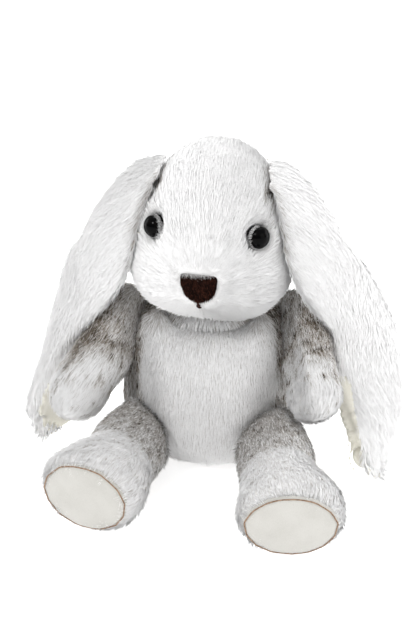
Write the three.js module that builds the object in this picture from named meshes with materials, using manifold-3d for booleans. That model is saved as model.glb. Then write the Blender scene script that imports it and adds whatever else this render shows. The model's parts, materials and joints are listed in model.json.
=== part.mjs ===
// A seated lop-eared plush rabbit, in millimetres. +Z is up, the toy faces -Y, and its own left is +X.
// The origin is the middle of the flat seat under the torso, on the surface that the toy sits on.
// Every soft piece is a closed solid of its real outer size: plush covers are shells that hold their
// stuffing, and each limb is a group of its own, hung where its seam lets it swing.
import * as THREE from "three";
import { mergeVertices } from "three/addons/utils/BufferGeometryUtils.js";
import Module from "manifold-3d";

const wasm = await Module();
wasm.setup();

// ---- Driving dimensions ----

const PLUSH = 6; // plush fabric with its pile laid down
const VELOUR = 2.6; // short velour with its backing, on soles and ear linings
const GAP = 0.35; // between pieces that touch
const SLACK = 2.4; // round the joints of the arms
const SEAM = 0.2; // each edge's share of the gap along a seam

const TORSO = { centre: [0, 2, 49], radii: [52, 44, 56], top: 92 };
const POUCH_TOP = 20; // the bag of pellets fills the seat up to here
const NECK = { centre: [0, 4, 96], radius: 19 };
const HEAD = { centre: [0, -8, 155.5], radii: [50, 50, 59], bottom: 101, lean: 0.065, turn: -0.06 };

const EYE = { x: 32, z: 163, radius: 7.3, sink: 2.2, shank: 2, depth: 13 };
const WASHER = { radius: 7.5, thickness: 1.8 };
const NOSE = { z: 132.5, width: 20, height: 16, thickness: 3.2 };
const MOUTH = { top: 123.4, bottom: 115.5, radius: 0.8 };

const SHOULDER = { place: [50, 2, 93], axis: [0.9, -0.35, 0.25] };
const ARM = { root: 17, paw: 19 };
const PAWS = { left: [64, -40, 64], right: [-77.5, -31, 55.5] };

const HIP = { axis: [0.8, -0.6, 0], out: 42, z: 26 };
const THIGH = { root: 22.5, end: 25 };
const FOOT = { radii: [32, 34, 27], back: 15, height: 26.5 };
const SOLES = {
  left: { centre: [59, -137, 23], facing: [0.08, -0.93, -0.34] },
  right: { centre: [-61, -116, 24], facing: [-0.3, -0.93, -0.2] },
};

const EAR = { root: 14, middle: 22.5, tip: 18, curl: 3.5, outer: 4.4, lining: 2.8, part: 0.3, clear: 2 };
const TAIL = { radius: 14.5, z: 24 };
const LABEL = { size: [12, 20, 0.8], z: 26 };

const FINE = [20, 12]; // segments of the outer surfaces
const COARSE = [14, 8]; // segments of the hidden ones

// ---- From three.js geometry to a manifold solid and back ----

const solid = (geometry) => {
  const bare = geometry.index ? geometry.toNonIndexed() : geometry.clone();
  bare.deleteAttribute("normal");
  bare.deleteAttribute("uv");
  const merged = mergeVertices(bare, 1e-4);
  return new wasm.Manifold(
    new wasm.Mesh({
      numProp: 3,
      vertProperties: merged.attributes.position.array,
      triVerts: new Uint32Array(merged.index.array),
    }),
  );
};

const geometryOf = (made) => {
  const mesh = made.getMesh();
  const geometry = new THREE.BufferGeometry();
  geometry.setAttribute("position", new THREE.BufferAttribute(mesh.vertProperties, 3));
  geometry.setIndex(new THREE.BufferAttribute(mesh.triVerts, 1));
  geometry.computeVertexNormals();
  return geometry;
};

const vector = (point) => new THREE.Vector3(...point);
const mirrored = (point, side) => [point[0] * side, point[1], point[2]];

// Moves each vertex of a geometry by a function that changes it in place.
const shaped = (geometry, change) => {
  const at = geometry.attributes.position;
  const p = new THREE.Vector3();
  for (let i = 0; i < at.count; i++) {
    change(p.fromBufferAttribute(at, i));
    at.setXYZ(i, p.x, p.y, p.z);
  }
  return geometry;
};

// A unit sphere with its poles on Z.
const ball = ([around, down]) => new THREE.SphereGeometry(1, around, down).rotateX(Math.PI / 2);

// A solid sphere at a place.
const sphere = (centre, radius, detail = COARSE) =>
  solid(ball(detail).scale(radius, radius, radius).translate(...centre));

// Turns +Z to a direction and moves the origin to a place.
const facing = (direction, place) =>
  new THREE.Matrix4()
    .makeRotationFromQuaternion(
      new THREE.Quaternion().setFromUnitVectors(
        new THREE.Vector3(0, 0, 1),
        vector(direction).normalize(),
      ),
    )
    .setPosition(...place);

// A large block whose lower face is the plane through a place, square to a direction.
const beyond = (direction, place) =>
  solid(
    new THREE.BoxGeometry(400, 400, 200)
      .translate(0, 0, 100)
      .applyMatrix4(facing(direction, place)),
  );

const below = (z) => beyond([0, 0, -1], [0, 0, z]);
const above = (z) => beyond([0, 0, 1], [0, 0, z]);

// A prism through the front half of the toy, whose section is an outline in X and Z.
const throughFront = (shape, back = 0) =>
  solid(
    new THREE.ExtrudeGeometry(shape, { depth: 150, bevelEnabled: false, curveSegments: 6 })
      .rotateX(Math.PI / 2)
      .translate(0, back, 0),
  );

// A symmetric outline through the points of its +X side, from the top down.
const symmetricOutline = (points, grow) => {
  const half = points.map(([x, z]) => new THREE.Vector2(x + grow, z));
  const other = half.map((p) => new THREE.Vector2(-p.x, p.y)).reverse();
  const curve = new THREE.CatmullRomCurve3(
    [...half, ...other].map((p) => new THREE.Vector3(p.x, p.y, 0)),
    true,
    "centripetal",
  );
  const steps = 40;
  return new THREE.Shape(
    curve.getPoints(steps).slice(0, steps).map((p) => new THREE.Vector2(p.x, p.y)),
  );
};

// ---- Torso ----

const torsoShape = (inset, detail) => {
  const [rx, ry, rz] = TORSO.radii.map((r) => r - inset);
  return solid(
    shaped(ball(detail), (p) => {
      const belly = p.y < 0 ? 1.06 : 1;
      const width = 1.03 - 0.08 * p.z;
      p.set(p.x * rx * width, p.y * ry * belly, p.z * rz);
    }).translate(...TORSO.centre),
  )
    .subtract(below(inset))
    .subtract(above(TORSO.top));
};

const hipPlace = (side, out) => [
  TORSO.centre[0] + HIP.axis[0] * side * out,
  TORSO.centre[1] + HIP.axis[1] * out,
  HIP.z,
];

// What the limbs and the neck need clear of the torso.
const torsoClearance = (extra) =>
  [-1, 1].reduce(
    (made, side) =>
      made
        .add(armSolid(side, -SLACK - extra, FINE))
        .add(beyond(mirrored(HIP.axis, side), hipPlace(side, HIP.out - extra))),
    sphere(NECK.centre, NECK.radius + GAP + extra, FINE),
  );

const BELLY_OUTLINE = [
  [14, 99],
  [29, 86],
  [39, 66],
  [43, 44],
  [36, 22],
  [15, 9],
];
const bellyPrism = (grow) => throughFront(symmetricOutline(BELLY_OUTLINE, grow), -4);

const torsoPieces = () => {
  const wall = torsoShape(0, FINE)
    .subtract(torsoShape(PLUSH, COARSE))
    .subtract(torsoClearance(0));
  const filling = torsoShape(PLUSH + GAP, COARSE).subtract(torsoClearance(GAP));
  return {
    torso_shell: wall.subtract(bellyPrism(SEAM)),
    belly_panel: wall.intersect(bellyPrism(-SEAM)),
    torso_stuffing: filling.subtract(below(POUCH_TOP + GAP)),
    bean_pouch: filling.subtract(above(POUCH_TOP)),
  };
};

// ---- Head ----

// Soft hills and hollows on the head: where, how wide in radians and how high.
const HEAD_RELIEF = [
  { towards: [0.62, -0.62, -0.52], wide: 0.42, high: 7.5 },
  { towards: [-0.62, -0.62, -0.52], wide: 0.42, high: 7.5 },
  { towards: [0.98, 0, -0.4], wide: 0.4, high: 3.5 },
  { towards: [-0.98, 0, -0.4], wide: 0.4, high: 3.5 },
  { towards: [0, -1, -0.42], wide: 0.4, high: 5 },
  { towards: [0.64, -0.76, 0.06], wide: 0.2, high: -3.5 },
  { towards: [-0.64, -0.76, 0.06], wide: 0.2, high: -3.5 },
  { towards: [0, -0.7, -0.86], wide: 0.2, high: -4 },
].map((hill) => ({ ...hill, towards: vector(hill.towards).normalize() }));

const headRelief = (direction) =>
  HEAD_RELIEF.reduce(
    (sum, hill) => sum + hill.high * Math.exp(-((direction.angleTo(hill.towards) / hill.wide) ** 2)),
    0,
  );

const headShape = (inset, detail) => {
  const [rx, ry, rz] = HEAD.radii.map((r) => r - inset);
  return solid(
    shaped(ball(detail), (p) => {
      const rise = headRelief(p);
      const outward = p.clone();
      const width = 1 - 0.16 * p.z + 0.08 * p.z * p.z;
      p.set(p.x * rx * width, p.y * ry, p.z * rz).addScaledVector(outward, rise);
    }).translate(...HEAD.centre),
  ).subtract(below(HEAD.bottom));
};

// The head leans and turns to one side a little about the middle of the neck.
const neckPlace = vector(NECK.centre);
const headLean = new THREE.Matrix4()
  .makeTranslation(neckPlace)
  .multiply(new THREE.Matrix4().makeRotationFromEuler(new THREE.Euler(0, HEAD.lean, HEAD.turn)))
  .multiply(new THREE.Matrix4().makeTranslation(neckPlace.clone().negate()));

// Where the front of the head is at a place across and up, by a ray from the front.
const frontOfHead = (() => {
  const mesh = new THREE.Mesh(geometryOf(headShape(0, FINE)));
  const ray = new THREE.Raycaster();
  return (x, z) => {
    ray.set(new THREE.Vector3(x, -200, z), new THREE.Vector3(0, 1, 0));
    const hit = ray.intersectObject(mesh)[0];
    return { place: hit.point, out: hit.face.normal.clone() };
  };
})();

const eyeSeat = (side) => {
  const { place } = frontOfHead(EYE.x * side, EYE.z);
  const out = new THREE.Vector3(0.66 * side, -0.75, 0.05).normalize();
  return { centre: place.clone().addScaledVector(out, -EYE.sink), out };
};

// A disc or post whose axis runs through an eye, from one depth under the eye to another.
const eyePost = (side, radius, from, to) => {
  const { centre, out } = eyeSeat(side);
  return solid(
    new THREE.CylinderGeometry(radius, radius, to - from, 20)
      .rotateX(Math.PI / 2)
      .translate(0, 0, -(from + to) / 2)
      .applyMatrix4(facing(out.toArray(), centre.toArray())),
  );
};

const eye = (side, grow, detail) =>
  sphere(eyeSeat(side).centre.toArray(), EYE.radius + grow, detail).add(
    eyePost(side, EYE.shank + grow, 0, EYE.depth + grow),
  );

// The nose patch: a shield with a straight top and a round bottom, which lies on the face.
const noseOutline = (grow) => {
  const w = NOSE.width / 2 + grow;
  const top = NOSE.z + NOSE.height / 2 + grow;
  const bottom = NOSE.z - NOSE.height / 2 - grow;
  const shape = new THREE.Shape();
  shape.moveTo(-w * 0.8, top);
  shape.lineTo(w * 0.8, top);
  shape.quadraticCurveTo(w, top, w, top - 3);
  shape.bezierCurveTo(w, bottom + 4, w * 0.6, bottom, 0, bottom);
  shape.bezierCurveTo(-w * 0.6, bottom, -w, bottom + 4, -w, top - 3);
  shape.quadraticCurveTo(-w, top, -w * 0.8, top);
  return shape;
};

const nose = (grow) =>
  headShape(-0.6 - grow, FINE)
    .subtract(headShape(NOSE.thickness + grow - 0.6, COARSE))
    .intersect(throughFront(noseOutline(grow), -20));

// The mouth is one line of thread down from the nose, half sunk in the fabric.
const mouth = (grow) => {
  const line = [MOUTH.top, (MOUTH.top + MOUTH.bottom) / 2, MOUTH.bottom].map((z) => {
    const { place } = frontOfHead(0, z);
    return place.add(new THREE.Vector3(0, 0.3, 0));
  });
  const section = new THREE.Shape().absarc(0, 0, MOUTH.radius + grow, 0, 2 * Math.PI);
  return solid(
    new THREE.ExtrudeGeometry(section, {
      extrudePath: new THREE.CatmullRomCurve3(line),
      steps: 6,
      curveSegments: 4,
      bevelEnabled: false,
    }),
  );
};

const FACE_OUTLINE = [
  [17, 203],
  [25, 182],
  [23, 160],
  [26, 146],
  [42, 137],
  [49, 122],
  [44, 106],
  [20, 97],
];
const facePrism = (grow) => throughFront(symmetricOutline(FACE_OUTLINE, grow), -14);

const headPieces = () => {
  const features = [-1, 1].reduce(
    (made, side) => made.add(eye(side, GAP, FINE)),
    nose(GAP).add(mouth(GAP)),
  );
  const washers = [-1, 1].map((side) =>
    eyePost(side, WASHER.radius, EYE.depth - 4, EYE.depth - 4 + WASHER.thickness),
  );
  const pockets = [-1, 1].reduce(
    (made, side) => made.add(eyePost(side, WASHER.radius + GAP, 0, EYE.depth + GAP)),
    sphere(NECK.centre, NECK.radius + GAP, FINE),
  );
  const wall = headShape(0, FINE)
    .subtract(headShape(PLUSH, COARSE))
    .subtract(features)
    .subtract(sphere(NECK.centre, NECK.radius + GAP, FINE));
  return {
    head_shell: wall.subtract(facePrism(SEAM)),
    face_panel: wall.intersect(facePrism(-SEAM)),
    head_stuffing: headShape(PLUSH + GAP, COARSE).subtract(features).subtract(pockets),
    eye_right: eye(-1, 0, FINE),
    eye_left: eye(1, 0, FINE),
    eye_washer_right: washers[0].subtract(eyePost(-1, EYE.shank + GAP, 0, 30)),
    eye_washer_left: washers[1].subtract(eyePost(1, EYE.shank + GAP, 0, 30)),
    nose: nose(0).subtract(mouth(GAP)),
    mouth_stitch: mouth(0),
  };
};

// ---- Ears ----

// The middle line of each ear from its root seam to its tip, and which way its width runs there,
// from the back edge to the front edge.
const EAR_LINES = {
  right: [
    { at: [-27, -7, 196], across: [-0.1, -0.97, -0.25] },
    { at: [-38, -11, 190], across: [0.2, -0.95, -0.3] },
    { at: [-50, -17, 177], across: [0.55, -0.83, -0.1] },
    { at: [-58, -20, 160], across: [0.72, -0.7, 0] },
    { at: [-66, -20, 137], across: [0.74, -0.68, 0] },
    { at: [-82.5, -4.5, 111], across: [0.6, -0.8, 0] },
    { at: [-99.5, 8.5, 80], across: [0.2, -0.98, 0] },
    { at: [-108, 10, 52], across: [-0.15, -0.99, 0] },
    { at: [-111, 7, 28], across: [-0.3, -0.95, 0] },
    { at: [-107, 2, 3.5], across: [-0.36, -0.93, 0] },
  ],
  left: [
    { at: [32, -7, 195], across: [0.1, -0.97, -0.25] },
    { at: [43, -11, 189], across: [-0.2, -0.95, -0.3] },
    { at: [55, -17, 176], across: [-0.55, -0.83, -0.1] },
    { at: [63, -20, 158], across: [-0.72, -0.7, 0] },
    { at: [71, -19, 136], across: [-0.74, -0.68, 0] },
    { at: [85.5, -3, 110], across: [-0.7, -0.72, 0] },
    { at: [102, 10, 78], across: [-0.6, -0.8, 0] },
    { at: [109, 2, 47], across: [-0.5, -0.86, 0.1] },
    { at: [111, -16, 22], across: [-0.2, -0.95, 0.3] },
    { at: [108, -38, 6], across: [0, -0.8, 0.6] },
  ],
};

const earFrame = (line) => {
  const middle = new THREE.CatmullRomCurve3(line.map((stop) => vector(stop.at)));
  const across = new THREE.CatmullRomCurve3(line.map((stop) => vector(stop.across)));
  return (share) => {
    const along = middle.getTangentAt(share);
    const wide = across.getPoint(middle.getUtoTmapping(share)).normalize();
    wide.addScaledVector(along, -wide.dot(along)).normalize();
    return { middle: middle.getPointAt(share), wide, thick: wide.clone().cross(along).normalize() };
  };
};

// Half the ear's width at a share of its length: narrow at the root, full in the middle, a round tip.
const earHalfWidth = (share) => {
  const grown = EAR.root + (EAR.middle - EAR.root) * THREE.MathUtils.smoothstep(share, 0, 0.45);
  const body = grown - (EAR.middle - EAR.tip) * THREE.MathUtils.smoothstep(share, 0.55, 0.95);
  const tip = share > 0.86 ? Math.sqrt(Math.max(0, 1 - ((share - 0.86) / 0.14) ** 2)) : 1;
  return body * tip;
};

// One layer of an ear: a thin lens section, swept down the ear, from one height above the ear's
// middle surface to another. Side is 1 for the left ear, and turns the fur side outwards.
const earLayer = (line, side, low, high) => {
  const frame = earFrame(line);
  return solid(
    shaped(ball([12, 18]), (p) => {
      const share = 0.5 - Math.asin(THREE.MathUtils.clamp(p.z, -1, 1)) / Math.PI;
      const round = Math.hypot(p.x, p.y) || 1;
      const [c, q] = [(p.x / round) * side, p.y / round];
      const { middle, wide, thick } = frame(share);
      const full = Math.min(1, 6 * (1 - share), 0.35 + 8 * share) * (round > 1e-3 ? 1 : 0);
      const height = (low + high) / 2 + ((high - low) / 2) * q * full - EAR.curl * c * c * share;
      p.copy(middle)
        .addScaledVector(wide, c * earHalfWidth(share) * (share > 0 ? 1 : 0))
        .addScaledVector(thick, height * side);
    }),
  );
};

// ---- Limbs ----

// A stuffed limb from one place to another, with a radius at each and a round end past both.
const limb = (from, to, radii, detail) => {
  const [root, end] = radii;
  const length = vector(from).distanceTo(vector(to));
  const [around, steps] = detail;
  const profile = [];
  for (let i = 0; i <= steps; i++) {
    const z = THREE.MathUtils.lerp(-root, length + end, (1 - Math.cos((Math.PI * i) / steps)) / 2);
    const body = THREE.MathUtils.lerp(root, end, THREE.MathUtils.smoothstep(z, 0, length));
    const past = z < 0 ? -z / root : Math.max(0, (z - length) / end);
    const radius = i % steps === 0 ? 0 : body * Math.sqrt(Math.max(0, 1 - past * past));
    profile.push(new THREE.Vector2(radius, z));
  }
  const along = vector(to).sub(vector(from)).toArray();
  return solid(
    new THREE.LatheGeometry(profile, around).rotateX(Math.PI / 2).applyMatrix4(facing(along, from)),
  );
};

const armSolid = (side, inset, detail) =>
  limb(
    mirrored(SHOULDER.place, side),
    side < 0 ? PAWS.right : PAWS.left,
    [ARM.root - inset, ARM.paw - inset],
    detail,
  );

const armPieces = (side) => {
  const [x, y, z] = SHOULDER.place;
  const sleeveMouth = beyond(mirrored(SHOULDER.axis, -side), [side * (x - 8), y + 3, z - 2]);
  return {
    arm: armSolid(side, 0, FINE).subtract(armSolid(side, PLUSH, COARSE)).subtract(sleeveMouth),
    arm_stuffing: armSolid(side, PLUSH + GAP, COARSE).subtract(sleeveMouth),
  };
};

// A leg: a thigh that runs from the hip seam to the foot, and the round foot.
const legShape = (side, sole, inset, detail) => {
  const out = vector(sole.facing).normalize();
  const foot = vector(sole.centre).addScaledVector(out, -FOOT.back);
  foot.z = FOOT.height;
  const [rx, ry, rz] = FOOT.radii.map((r) => r - inset);
  const footBall = ball(detail)
    .scale(rx, ry, rz)
    .rotateZ(Math.atan2(out.x, -out.y))
    .translate(...foot.toArray());
  const radii = [THIGH.root - inset, THIGH.end - inset];
  const thigh = limb(hipPlace(side, HIP.out), foot.toArray(), radii, detail);
  return solid(footBall).add(thigh).subtract(below(inset));
};

const legPieces = (side, sole) => {
  const out = vector(sole.facing).normalize();
  const pastSole = (depth) =>
    beyond(out.toArray(), vector(sole.centre).addScaledVector(out, -depth).toArray());
  const inward = mirrored(HIP.axis, side).map((v) => -v);
  const hipSide = beyond(inward, hipPlace(side, HIP.out + GAP));
  const covered = 0.6 + VELOUR;
  const pad = (inset, depth) =>
    legShape(side, sole, inset, COARSE).subtract(pastSole(0.6)).intersect(pastSole(depth));
  return {
    leg: legShape(side, sole, 0, FINE)
      .subtract(hipSide)
      .subtract(legShape(side, sole, PLUSH, COARSE))
      .subtract(legShape(side, sole, 3 - GAP, COARSE).intersect(pastSole(covered + GAP)))
      .subtract(pastSole(0)),
    sole_pad: pad(3, covered),
    leg_stuffing: legShape(side, sole, PLUSH + GAP, COARSE)
      .subtract(pastSole(covered + 2 * GAP))
      .subtract(hipSide),
  };
};

// ---- Materials ----

const finish = (color, roughness = 0.95, metalness = 0) =>
  new THREE.MeshStandardMaterial({ color, roughness, metalness });
const whitePlush = finish(0xefedea);
const frostedPlush = finish(0xa39b94);
const bellyPlush = finish(0xe2e1dc);
const creamVelour = finish(0xe2dfd4);
const fiberfill = finish(0xf4f4f2);
const pellets = finish(0xcfcabf, 0.7);
const brownThread = finish(0x2d1511, 0.7);
const blackPlastic = finish(0x07070a, 0.08);
const washerPlastic = finish(0xd8d8d2, 0.5);
const satinRibbon = finish(0xf2f1ee, 0.6);

// ---- Assembly ----

const named = (group, pieces, looks) => {
  for (const [name, made] of Object.entries(pieces)) {
    const mesh = new THREE.Mesh(geometryOf(made), looks[name]);
    mesh.name = name;
    group.add(mesh);
  }
  return group;
};

const tail = () => {
  const back = TORSO.centre[1] + TORSO.radii[1] + TAIL.radius - 5;
  return sphere([0, back, TAIL.z], TAIL.radius).subtract(torsoShape(-GAP, FINE));
};

const careLabel = () =>
  solid(
    new THREE.BoxGeometry(...LABEL.size)
      .rotateY(Math.PI / 2)
      .translate(0, LABEL.size[1] / 2 - 5, 0)
      .rotateZ(-0.55)
      .translate(27, TORSO.centre[1] + TORSO.radii[1] * 0.86, LABEL.z),
  ).subtract(torsoShape(-GAP, FINE));

const toy = new THREE.Group();
const torso = named(
  new THREE.Group(),
  { ...torsoPieces(), tail: tail(), care_label: careLabel() },
  {
    torso_shell: frostedPlush,
    belly_panel: bellyPlush,
    torso_stuffing: fiberfill,
    bean_pouch: pellets,
    tail: whitePlush,
    care_label: satinRibbon,
  },
);
const neck = named(
  new THREE.Group(),
  { neck_stuffing: sphere(NECK.centre, NECK.radius, FINE) },
  { neck_stuffing: fiberfill },
);
const head = named(new THREE.Group(), headPieces(), {
  head_shell: whitePlush,
  face_panel: whitePlush,
  head_stuffing: fiberfill,
  eye_right: blackPlastic,
  eye_left: blackPlastic,
  eye_washer_right: washerPlastic,
  eye_washer_left: washerPlastic,
  nose: brownThread,
  mouth_stitch: brownThread,
});
toy.add(torso);
torso.add(neck);
neck.add(head);
head.applyMatrix4(headLean);
head.updateMatrixWorld(true);

for (const [hand, side] of [
  ["right", -1],
  ["left", 1],
]) {
  const line = EAR_LINES[hand].map(({ at, across }) => ({
    at: head.worldToLocal(vector(at)).toArray(),
    across: vector(across).transformDirection(head.matrixWorld.clone().invert()).toArray(),
  }));
  const clearOfHead = headShape(-EAR.clear, FINE);
  const lining = earLayer(line, side, -EAR.lining, -EAR.part);
  const ear = named(
    new THREE.Group(),
    {
      [`ear_outer_${hand}`]: earLayer(line, side, EAR.part, EAR.outer).subtract(clearOfHead),
      [`ear_lining_${hand}`]: lining
        .subtract(clearOfHead)
        .subtract(earLayer(line, side, 0, EAR.outer)),
    },
    { [`ear_outer_${hand}`]: whitePlush, [`ear_lining_${hand}`]: creamVelour },
  );
  head.add(ear);

  const { arm, arm_stuffing } = armPieces(side);
  torso.add(
    named(
      new THREE.Group(),
      { [`arm_shell_${hand}`]: arm, [`arm_stuffing_${hand}`]: arm_stuffing },
      { [`arm_shell_${hand}`]: frostedPlush, [`arm_stuffing_${hand}`]: fiberfill },
    ),
  );

  const { leg, sole_pad, leg_stuffing } = legPieces(side, SOLES[hand]);
  torso.add(
    named(
      new THREE.Group(),
      {
        [`leg_shell_${hand}`]: leg,
        [`sole_pad_${hand}`]: sole_pad,
        [`leg_stuffing_${hand}`]: leg_stuffing,
      },
      {
        [`leg_shell_${hand}`]: whitePlush,
        [`sole_pad_${hand}`]: creamVelour,
        [`leg_stuffing_${hand}`]: fiberfill,
      },
    ),
  );
}

export default toy;
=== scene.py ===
"""A seated lop-eared plush rabbit, dressed over its engineering model.

Each stuffed part gets a smooth body wrapped over its solids, and a pile of real strands combed over
that body. The pile's colour runs from white through frosted grey to the dark undercoat, strand by strand,
and painted shade darkens it in creases and where parts meet.
Lengths are in metres. +Z is up, the toy faces -Y, and its own left is +X.
"""

import json  # noqa: E402
import logging  # noqa: E402
import math  # noqa: E402
from collections.abc import Iterable  # noqa: E402
from dataclasses import dataclass, field  # noqa: E402
from enum import Enum  # noqa: E402

import bmesh  # noqa: E402
import bpy  # noqa: E402
import numpy as np  # noqa: E402
from mathutils import Matrix, Vector  # noqa: E402
from mathutils.bvhtree import BVHTree  # noqa: E402

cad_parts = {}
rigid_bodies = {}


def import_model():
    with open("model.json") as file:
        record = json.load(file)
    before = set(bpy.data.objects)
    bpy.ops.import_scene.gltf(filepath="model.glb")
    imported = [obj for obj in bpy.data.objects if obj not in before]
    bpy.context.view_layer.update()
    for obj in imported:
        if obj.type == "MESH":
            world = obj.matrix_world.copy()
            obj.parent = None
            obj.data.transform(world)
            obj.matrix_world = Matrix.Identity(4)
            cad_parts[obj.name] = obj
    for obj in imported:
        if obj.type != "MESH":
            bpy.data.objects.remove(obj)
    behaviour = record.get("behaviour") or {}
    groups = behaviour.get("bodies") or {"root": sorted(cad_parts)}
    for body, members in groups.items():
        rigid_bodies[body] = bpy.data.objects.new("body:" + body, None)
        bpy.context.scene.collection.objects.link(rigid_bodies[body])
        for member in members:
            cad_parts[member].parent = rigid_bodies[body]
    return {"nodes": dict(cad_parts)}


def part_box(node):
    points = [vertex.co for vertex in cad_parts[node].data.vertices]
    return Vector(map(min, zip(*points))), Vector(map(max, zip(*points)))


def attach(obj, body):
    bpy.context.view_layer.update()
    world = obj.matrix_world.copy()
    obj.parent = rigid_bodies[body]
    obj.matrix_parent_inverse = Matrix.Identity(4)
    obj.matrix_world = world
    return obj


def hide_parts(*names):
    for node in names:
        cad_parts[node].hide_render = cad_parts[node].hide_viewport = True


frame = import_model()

logging.basicConfig(level=logging.INFO, format="%(message)s")
log = logging.getLogger("rabbit")

MM = 0.001
NECK = Vector((0, 4, 96)) * MM
HEAD_TO_TOY = (
    Matrix.Translation(NECK)
    @ Matrix.Rotation(0.065, 4, "Y")
    @ Matrix.Rotation(-0.06, 4, "Z")
    @ Matrix.Translation(-NECK)
)
NOSE = Vector((0, -62, 134)) * MM
MOST_STRANDS = 16500
PLAN = ("comb", "lift", "length", "frost", "fleck", "density")


class Side(Enum):
    """The toy's own left and right, and the sign of X on that side."""

    RIGHT = -1
    LEFT = 1

    @property
    def word(self) -> str:
        """The side's name as the solids use it."""
        return self.name.lower()

    def mirrored(self, point: tuple[float, float, float]) -> Vector:
        """A point given for the left side in millimetres, moved to this side, in metres."""
        return Vector((point[0] * self.value, point[1], point[2])) * MM


# ---- Node trees -----------------------------------------------------------------------------------


class Socket:
    """A node's output that adds a math node to its tree whenever it takes part in arithmetic."""

    def __init__(self, graph: "Graph", output: bpy.types.NodeSocket) -> None:
        """Wraps one output of one node in a graph."""
        self.graph = graph
        self.output = output

    def __add__(self, other: "Value") -> "Socket":
        """Adds."""
        return self.graph.math("ADD", self, other)

    def __sub__(self, other: "Value") -> "Socket":
        """Subtracts."""
        return self.graph.math("SUBTRACT", self, other)

    def __mul__(self, other: "Value") -> "Socket":
        """Multiplies."""
        return self.graph.math("MULTIPLY", self, other)

    def __truediv__(self, other: "Value") -> "Socket":
        """Divides."""
        return self.graph.math("DIVIDE", self, other)

    def __rsub__(self, other: "Value") -> "Socket":
        """Is subtracted from a number."""
        return self.graph.math("SUBTRACT", other, self)

    __radd__ = __add__
    __rmul__ = __mul__

    def above(self, edge: "Value") -> "Socket":
        """1 where this is more than an edge, and 0 elsewhere."""
        return self.graph.math("GREATER_THAN", self, edge)

    def held(self, low: float = 0.0, high: float = 1.0) -> "Socket":
        """This, kept between two numbers."""
        return self.graph.math("MINIMUM", self.graph.math("MAXIMUM", self, low), high)

    def ramp(self, low: float, high: float) -> "Socket":
        """0 below one number, 1 above another, and smooth between."""
        node = self.graph.node(
            "ShaderNodeMapRange",
            {"interpolation_type": "SMOOTHSTEP"},
            {"Value": self, "From Min": low, "From Max": high},
        )
        return self.graph.output(node, "Result")


Value = Socket | float | int


class Graph:
    """A node tree that is written as expressions."""

    def __init__(self, tree: bpy.types.NodeTree) -> None:
        """Starts on a tree."""
        self.tree = tree

    def node(self, kind: str, settings: dict | None = None, inputs: dict | None = None) -> bpy.types.Node:
        """Adds a node.

        Args:
            kind: The node's type name.
            settings: Properties, set before the inputs because they can change which inputs exist.
            inputs: Input names or indices, with a socket to link or a constant to set.

        Returns:
            The new node.
        """
        node = self.tree.nodes.new(kind)
        for name, value in (settings or {}).items():
            setattr(node, name, value)
        for name, value in (inputs or {}).items():
            self.feed(self.live(node.inputs, name), value)
        return node

    @staticmethod
    def live(sockets: Iterable[bpy.types.NodeSocket], name: str | int) -> bpy.types.NodeSocket:
        """A socket by place, or the one in use among those that share a name."""
        if isinstance(name, int):
            return sockets[name]
        return next(s for s in sockets if s.name == name and s.enabled)

    def feed(self, target: bpy.types.NodeSocket, value: object) -> None:
        """Links a socket to an input, or sets the input's own value."""
        if isinstance(value, Socket):
            self.tree.links.new(value.output, target)
        else:
            target.default_value = value

    def output(self, node: bpy.types.Node, name: str | int = 0) -> Socket:
        """One output of a node, ready for arithmetic."""
        return Socket(self, self.live(node.outputs, name))

    def math(self, operation: str, *values: Value) -> Socket:
        """One operation on numbers."""
        return self.output(self.node("ShaderNodeMath", {"operation": operation}, dict(enumerate(values))))

    def vector(self, operation: str, *values: object) -> Socket:
        """One operation on vectors."""
        made = self.node("ShaderNodeVectorMath", {"operation": operation}, dict(enumerate(values)))
        return self.output(made, "Vector")

    def scaled(self, vector: object, factor: Value) -> Socket:
        """A vector times a number."""
        node = self.node("ShaderNodeVectorMath", {"operation": "SCALE"}, {0: vector, "Scale": factor})
        return self.output(node, "Vector")

    def mix(self, factor: Value, first: object, second: object) -> Socket:
        """A colour between two others."""
        node = self.node(
            "ShaderNodeMix", {"data_type": "RGBA"}, {"Factor": factor, "A": first, "B": second}
        )
        return self.output(node, "Result")

    def noise(self, place: Socket, scale: float, detail: float = 2.0, output: str = "Fac") -> Socket:
        """Soft noise over a place, with that many features to a metre."""
        node = self.node("ShaderNodeTexNoise", None, {"Vector": place, "Scale": scale, "Detail": detail})
        return self.output(node, output)


Shade = tuple[float, float, float, float]


def grey(level: float, warm: float = 0.0) -> Shade:
    """A near-neutral colour of one brightness, made warmer by a share of it."""
    return (level * (1 + warm), level, level * (1 - warm), 1.0)


class Look:
    """A procedural material on a Principled surface."""

    def __init__(self, name: str, **constants: object) -> None:
        """Makes the material.

        Args:
            name: The material's name.
            **constants: Principled inputs by name, with _ for a space.
        """
        self.material = bpy.data.materials.new(name)
        self.material.use_nodes = True
        self.graph = Graph(self.material.node_tree)
        self.surface = self.material.node_tree.nodes["Principled BSDF"]
        for key, value in constants.items():
            self.surface.inputs[key.replace("_", " ")].default_value = value

    def place(self) -> Socket:
        """Where a point is, in the object's own metres."""
        return self.graph.output(self.graph.node("ShaderNodeTexCoord"), "Object")

    def attribute(self, name: str) -> Socket:
        """A number stored on the mesh."""
        return self.graph.output(
            self.graph.node("ShaderNodeAttribute", {"attribute_name": name}), "Fac"
        )

    def link(self, name: str, value: Socket) -> None:
        """Feeds one of the surface's inputs."""
        self.graph.feed(self.surface.inputs[name], value)

    def bump(self, height: Socket, strength: float, distance: float) -> None:
        """Raises the surface by a height, through its normal."""
        node = self.graph.node(
            "ShaderNodeBump", None, {"Height": height, "Strength": strength, "Distance": distance}
        )
        self.link("Normal", self.graph.output(node, "Normal"))


# ---- Finishes -------------------------------------------------------------------------------------


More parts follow.
